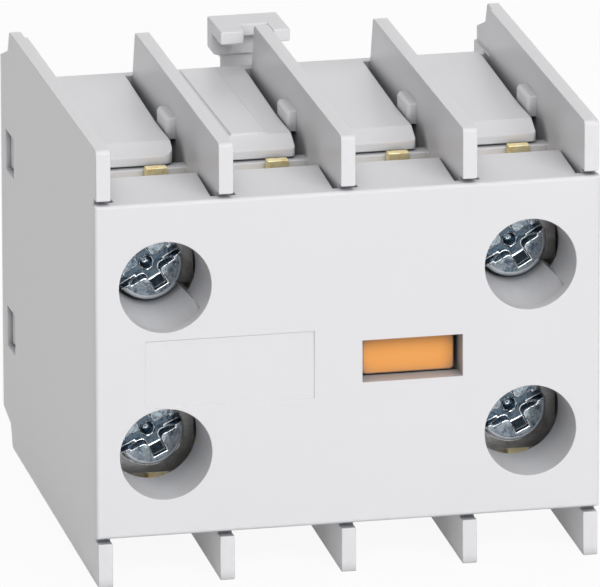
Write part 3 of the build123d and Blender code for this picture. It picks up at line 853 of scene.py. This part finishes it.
@dataclass
class TerminalScrew:
    """Terminal screw: a rounded head with cross and slot, and a threaded shank."""

    head_radius: float = 3.1 * MM
    head_thick: float = 2.2 * MM
    head_sides: int = 112
    rim_round: float = 0.42 * MM
    round_steps: int = 5
    crown: float = 0.10 * MM
    crown_margin: float = 1.1 * MM
    facing: float = 0.9
    square_on: float = 0.999
    recess_depth: float = 1.2 * MM
    slot_width: float = 0.9 * MM
    cross_width: float = 1.3 * MM
    cross_span: float = 4.4 * MM
    cross_corner: float = 0.42 * MM
    arm_slope: float = 0.6
    point_radius: float = 0.95 * MM
    point_tip: float = 0.2
    point_depth: float = 0.75 * MM
    point_sides: int = 24
    tool_margin: float = 3.0
    lip: float = 0.09 * MM
    lip_steps: int = 3
    lip_sharp: float = math.radians(35.0)
    # Share of the painted highlight on the head's outer rim.
    rim_highlight_share: float = 0.75
    shank_radius: float = 1.75 * MM
    core_radius: float = 1.42 * MM
    shank_length: float = 8.4 * MM
    shank_sides: int = 48
    shank_start: float = 0.9
    tip_bevel: float = 0.4 * MM
    tip_steps: int = 2
    pitch: float = 0.6 * MM
    thread_turns: int = 12
    thread_steps: int = 28
    thread_start: float = 3.2 * MM
    thread_size: float = 1.1
    smooth_below: float = 40.0
    lean: dict[str, float] = field(
        default_factory=lambda: {"upper": math.radians(30.0), "lower": math.radians(25.0)}
    )

    def head(self) -> bpy.types.Object:
        """Turn the head about Y, its front at Y 0, with a rounded rim and a slight crown.

        Returns:
            The head without its recess.
        """
        head = round_bar(
            "terminal_screw", self.head_radius, 0.0, self.head_thick, self.head_sides
        )
        pick_faces(head, lambda place, way: way.y < -self.facing)
        bpy.ops.mesh.bevel(offset=self.rim_round, segments=self.round_steps, affect="EDGES")
        bpy.ops.object.mode_set(mode="OBJECT")
        pick_faces(head, lambda place, way: way.y < -self.square_on)
        bpy.ops.mesh.inset(thickness=self.crown_margin)
        bpy.ops.transform.translate(value=(0.0, -self.crown, 0.0))
        bpy.ops.object.mode_set(mode="OBJECT")
        return head

    def recess(self) -> bpy.types.Object:
        """Shape the tool that cuts the cross, the slot and the centre point.

        Returns:
            The cutting tool.
        """
        deep, arm = self.recess_depth, self.cross_span / 2
        front = -self.tool_margin * self.crown
        cross = bar("cross", self.cross_width, self.cross_span, front, deep)
        other = bar("arm", self.cross_span, self.cross_width, front, deep)
        combine(cross, other, Cut.UNION)
        corner = self.cross_width / 2
        pick_edges(
            cross,
            lambda a, b: abs(a.x - b.x) + abs(a.z - b.z) < TINY
            and abs(abs(a.x) - corner) + abs(abs(a.z) - corner) < TINY,
        )
        bpy.ops.mesh.bevel(offset=self.cross_corner, segments=self.round_steps, affect="EDGES")
        bpy.ops.object.mode_set(mode="OBJECT")
        pick_edges(
            cross,
            lambda a, b: min(a.y, b.y) > deep - TINY
            and max(abs(a.x), abs(a.z)) > arm - TINY
            and max(abs(b.x), abs(b.z)) > arm - TINY,
        )
        bpy.ops.mesh.bevel(offset=self.arm_slope * deep, segments=1, affect="EDGES")
        bpy.ops.object.mode_set(mode="OBJECT")
        slot = bar("slot", self.tool_margin * self.head_radius, self.slot_width, front, deep)
        combine(cross, slot, Cut.UNION)
        length = self.point_depth + deep / 2
        bpy.ops.object.select_all(action="DESELECT")
        bpy.ops.mesh.primitive_cone_add(
            vertices=self.point_sides,
            radius1=self.point_radius,
            radius2=self.point_radius * self.point_tip,
            depth=length,
            location=(0.0, deep / 2 + length / 2, 0.0),
            rotation=(-math.pi / 2, 0.0, 0.0),
        )
        point = bpy.context.active_object
        settle(point)
        combine(cross, point, Cut.UNION)
        return cross

    def thread(self) -> bpy.types.Object:
        """Wind the ridge of the thread.

        Returns:
            The closed ridge.
        """
        depth = self.shank_radius - self.core_radius
        bpy.ops.object.select_all(action="DESELECT")
        bpy.ops.mesh.primitive_circle_add(
            vertices=3,
            radius=depth * self.thread_size,
            location=(self.core_radius, self.thread_start, 0.0),
            rotation=(0.0, 0.0, -math.pi / 2),
        )
        ridge = bpy.context.active_object
        settle(ridge)
        reach = max(corner.co.x for corner in ridge.data.vertices)
        only(ridge)
        bpy.ops.object.mode_set(mode="EDIT")
        bpy.ops.mesh.select_all(action="SELECT")
        bpy.ops.transform.translate(value=(self.shank_radius - reach, 0.0, 0.0))
        bpy.ops.object.mode_set(mode="OBJECT")
        apply_modifier(
            ridge,
            "SCREW",
            axis="Y",
            screw_offset=self.pitch,
            iterations=self.thread_turns,
            steps=self.thread_steps,
            render_steps=self.thread_steps,
            use_merge_vertices=False,
        )
        close_ends(ridge)
        return ridge

    def mark_highlight_rims(self, screw: bpy.types.Object) -> None:
        """Note on each face whether it belongs to a rounded rim, where the finish paints a
        highlight.

        Args:
            screw: The screw, whose rim faces hold the second material's number.
        """
        marks = screw.data.attributes.new(HIGHLIGHT_MARK, "FLOAT", "FACE")
        inner = self.head_radius - self.rim_round
        for face in screw.data.polygons:
            place = face.center
            # Faces on the head's outer rim get part of the painted highlight.
            outer = math.hypot(place.x, place.z) > inner and place.y < self.rim_round
            mark = 1.0 if face.material_index == 1 else self.rim_highlight_share * outer
            marks.data[face.index].value = mark
            face.material_index = 0

    def model(self) -> bpy.types.Object:
        """Model one screw about the Y axis, its head's front at Y 0.

        Returns:
            The screw.
        """
        screw = self.head()
        combine(screw, self.recess(), Cut.DIFFERENCE)
        for name in ("plating", "rims"):
            screw.data.materials.append(bpy.data.materials.new(name))
        apply_modifier(
            screw,
            "BEVEL",
            width=self.lip,
            segments=self.lip_steps,
            limit_method="ANGLE",
            angle_limit=self.lip_sharp,
            use_clamp_overlap=False,
            material=1,
        )
        self.mark_highlight_rims(screw)
        start = self.head_thick * self.shank_start
        end = self.head_thick + self.shank_length
        core = round_bar("shank", self.core_radius, start, end, self.shank_sides)
        pick_faces(core, lambda place, way: way.y > self.facing)
        bpy.ops.mesh.bevel(offset=self.tip_bevel, segments=self.tip_steps, affect="EDGES")
        bpy.ops.object.mode_set(mode="OBJECT")
        join(screw, [core, self.thread()])
        smooth(screw, self.smooth_below)
        return screw

    def build(self, palette: Palette) -> None:
        """Set a copy of the screw at each terminal.

        Args:
            palette: The block's materials.
        """
        master = self.model()
        for level in LEVELS:
            for side in SIDES:
                node = f"terminal_screw_{level}_{side}"
                low, high = (Vector(corner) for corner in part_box(node))
                piece = copy_piece(master, f"turned_screw_{level}_{side}")
                piece.rotation_euler = (0.0, -self.lean[level], 0.0)
                piece.location = ((low.x + high.x) / 2, low.y, (low.z + high.z) / 2)
                settle(piece)
                palette.dress(piece, Slot.SCREW)
                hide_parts(node)
                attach(piece, f"screw_{level}_{side}")
                LOG.info("screw %s", node)
        bpy.data.objects.remove(master)


@dataclass
class CoilSpring:
    """Round wire compression spring with closed ends."""

    node: str
    body: Body
    joint: str
    along: Axis
    radius: float
    wire: float
    turns: int
    anchor: Place
    keep: float
    wire_sides: int = 12
    steps: int = 28
    smooth_below: float = 50.0

    def winding(self, start: float, pitch: float, turns: int) -> bpy.types.Object:
        """Wind part of the spring about Z.

        Args:
            start: Height of the wire's middle at the first turn.
            pitch: Rise per turn.
            turns: Number of turns.

        Returns:
            The open tube of wire.
        """
        bpy.ops.object.select_all(action="DESELECT")
        bpy.ops.mesh.primitive_circle_add(
            vertices=self.wire_sides,
            radius=self.wire / 2,
            location=(self.radius, 0.0, start),
            rotation=(math.pi / 2, 0.0, 0.0),
        )
        wire = bpy.context.active_object
        settle(wire)
        apply_modifier(
            wire,
            "SCREW",
            axis="Z",
            screw_offset=pitch,
            iterations=turns,
            steps=self.steps,
            render_steps=self.steps,
            use_merge_vertices=False,
        )
        return wire

    def build(self, palette: Palette) -> None:
        """Wind the spring where its solid stands.

        Args:
            palette: The block's materials.
        """
        low, high = (Vector(corner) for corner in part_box(self.node))
        middle = (low + high) / 2
        length = (high - low)["xyz".index(self.along.value)]
        bottom = self.wire / 2
        first = self.winding(bottom, self.wire, 1)
        rise = length - 3 * self.wire
        body = self.winding(bottom + self.wire, rise / (self.turns - 2), self.turns - 2)
        last = self.winding(bottom + self.wire + rise, self.wire, 1)
        join(first, [body, last])
        first.name = f"wound_{self.node}"
        close_ends(first)
        if self.along is Axis.Y:
            first.rotation_euler = (-math.pi / 2, 0.0, 0.0)
            first.location = (middle.x, low.y, middle.z)
        else:
            first.location = (middle.x, middle.y, low.z)
        settle(first)
        smooth(first, self.smooth_below)
        palette.dress(first, Slot.SPRING)
        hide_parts(self.node)
        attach(first, self.body.value)
        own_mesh(first)
        LOG.info("spring %s", self.node)


@dataclass(frozen=True)
class Softbox:
    """One square soft lamp, its place in metres, its power in watts, and whether it mirrors."""

    name: str
    place: Place
    size: float
    power: float
    mirrored: bool = True


@dataclass
class Studio:
    """Floor, lamps, world and camera."""

    lamps: tuple[Softbox, ...] = (
        Softbox("right softbox", (0.35, -0.85, 0.42), 0.5, 4.6),
        Softbox("front softbox", (-0.10, -0.80, 0.60), 0.5, 4.0),
        Softbox("top softbox", (0.05, 0.10, 0.90), 0.6, 0.8),
        Softbox("left softbox", (-0.50, 0.0, 0.68), 0.6, 1.4),
        Softbox("rear softbox", (0.25, 0.85, 0.30), 0.4, 4.0, mirrored=False),
    )
    aim: Place = (0.0, 0.0, 0.02)
    floor_half: float = 1.2
    floor_colour: Colour = (0.76, 0.76, 0.76)
    floor_roughness: float = 0.9
    floor_shine: float = 0.93
    world_strength: float = 0.10
    lens_px: float = 13781.86
    frame_px: float = 600.0
    sensor: float = 36.0
    camera_turn: tuple[Place, Place, Place] = (
        (0.9765661, -0.2152038, -0.0024481),
        (0.2057737, 0.9369852, -0.2823402),
        (0.0630545, 0.2752201, 0.9593112),
    )
    camera_place: Place = (-250.7169, -1121.9236, 344.2065)
    front_to_middle: float = 22.3
    centre_to_floor: float = 19.5
    nearest: float = 0.05
    farthest: float = 20.0

    def floor(self) -> None:
        """Lay the pale floor with a soft shadow."""
        bpy.ops.object.select_all(action="DESELECT")
        bpy.ops.mesh.primitive_plane_add(size=2 * self.floor_half, location=(0, 0, 0))
        ground = bpy.context.active_object
        ground.name = "studio_floor"
        material = bpy.data.materials.new("pale floor")
        material.use_nodes = True
        nodes = NodeTree(material.node_tree)
        plain = material.node_tree.nodes["Principled BSDF"]
        plain.inputs["Base Color"].default_value = (*self.floor_colour, 1.0)
        plain.inputs["Roughness"].default_value = self.floor_roughness
        plain.inputs["Specular IOR Level"].default_value = 0.0
        glow = nodes.add("ShaderNodeEmission", in_Strength=1.0)
        glow.inputs["Color"].default_value = WHITE
        seen = nodes.add("ShaderNodeLightPath")
        either = nodes.add("ShaderNodeMath", operation="MAXIMUM")
        nodes.link(seen.outputs["Is Camera Ray"], either.inputs[0])
        nodes.link(seen.outputs["Is Glossy Ray"], either.inputs[1])
        share = nodes.add("ShaderNodeMath", operation="MULTIPLY")
        share.inputs[1].default_value = self.floor_shine
        nodes.link(either.outputs[0], share.inputs[0])
        mix = nodes.add("ShaderNodeMixShader")
        nodes.link(share.outputs[0], mix.inputs["Fac"])
        nodes.link(plain.outputs[0], mix.inputs[1])
        nodes.link(glow.outputs[0], mix.inputs[2])
        nodes.link(mix.outputs[0], material.node_tree.nodes["Material Output"].inputs["Surface"])
        ground.data.materials.append(material)

    def world(self) -> None:
        """Set an even pale sky that the camera and shiny surfaces see as white."""
        world = bpy.data.worlds.new("pale room")
        bpy.context.scene.world = world
        world.use_nodes = True
        nodes = NodeTree(world.node_tree)
        sky = world.node_tree.nodes["Background"]
        sky.inputs["Color"].default_value = WHITE
        sky.inputs["Strength"].default_value = self.world_strength
        white = nodes.add("ShaderNodeBackground", in_Strength=1.0)
        seen = nodes.add("ShaderNodeLightPath")
        either = nodes.add("ShaderNodeMath", operation="MAXIMUM")
        nodes.link(seen.outputs["Is Camera Ray"], either.inputs[0])
        nodes.link(seen.outputs["Is Transmission Ray"], either.inputs[1])
        any_ray = nodes.add("ShaderNodeMath", operation="MAXIMUM")
        nodes.link(either.outputs[0], any_ray.inputs[0])
        nodes.link(seen.outputs["Is Glossy Ray"], any_ray.inputs[1])
        mix = nodes.add("ShaderNodeMixShader")
        nodes.link(any_ray.outputs[0], mix.inputs["Fac"])
        nodes.link(sky.outputs[0], mix.inputs[1])
        nodes.link(white.outputs[0], mix.inputs[2])
        nodes.link(mix.outputs[0], world.node_tree.nodes["World Output"].inputs["Surface"])

    def hang(self, lamp: Softbox) -> None:
        """Hang one square soft lamp that points at the block.

        Args:
            lamp: The lamp to hang.
        """
        light = bpy.data.lights.new(lamp.name, "AREA")
        light.size = lamp.size
        light.energy = lamp.power
        seat = bpy.data.objects.new(lamp.name, light)
        bpy.context.scene.collection.objects.link(seat)
        seat.visible_glossy = lamp.mirrored
        seat.location = lamp.place
        seat.rotation_mode = "QUATERNION"
        toward = Vector(self.aim) - Vector(lamp.place)
        seat.rotation_quaternion = toward.to_track_quat("-Z", "Y")

    def camera(self) -> None:
        """Set the camera where the photograph was taken."""
        data = bpy.data.cameras.new("camera")
        data.sensor_width = self.sensor
        data.lens = self.lens_px / self.frame_px * self.sensor
        data.clip_start = self.nearest
        data.clip_end = self.farthest
        rows = [Vector(row) for row in self.camera_turn]
        turn = Matrix((rows[0], rows[2], -rows[1])).transposed()
        shift = Vector((0, -self.front_to_middle, self.centre_to_floor))
        place = Vector(self.camera_place) + shift
        seat = bpy.data.objects.new("camera", data)
        bpy.context.scene.collection.objects.link(seat)
        seat.matrix_world = Matrix.Translation(place * MM) @ turn.to_4x4()
        bpy.context.scene.camera = seat

    def build(self) -> None:
        """Make everything that the block stands in."""
        self.camera()
        self.floor()
        self.world()
        for lamp in self.lamps:
            self.hang(lamp)
        bpy.context.scene.view_settings.view_transform = "Standard"


def springs() -> list[CoilSpring]:
    """List the block's springs.

    Returns:
        The return spring, the latch spring and the two contact springs.
    """
    found = [
        CoilSpring(
            "return_spring", Body.BLOCK, "carrier_slide", Axis.Y,
            radius=2.7 * MM, wire=0.45 * MM, turns=7, anchor=(0.0, 0.0137, 0.0), keep=0.756,
        ),
        CoilSpring(
            "latch_spring", Body.BLOCK, "latch_slide", Axis.Z,
            radius=0.6 * MM, wire=0.22 * MM, turns=8, anchor=(0.0, 0.0, 0.0291), keep=0.583,
        ),
    ]
    for side in SIDES:
        found.append(
            CoilSpring(
                f"contact_spring_{side}", Body.CARRIER, f"bridge_{side}_slide", Axis.Y,
                radius=1.5 * MM, wire=0.36 * MM, turns=6, anchor=(0.0, -0.0051, 0.0), keep=0.862,
            )
        )
    return found


def main() -> None:
    """Build the studio and every sub-assembly in order."""
    logging.basicConfig(level=logging.INFO, format="%(message)s")
    Studio().build()
    palette = Palette()
    Mouldings().build(palette)
    TerminalScrew().build(palette)
    for spring in springs():
        spring.build(palette)


if __name__ == "__main__":
    main()
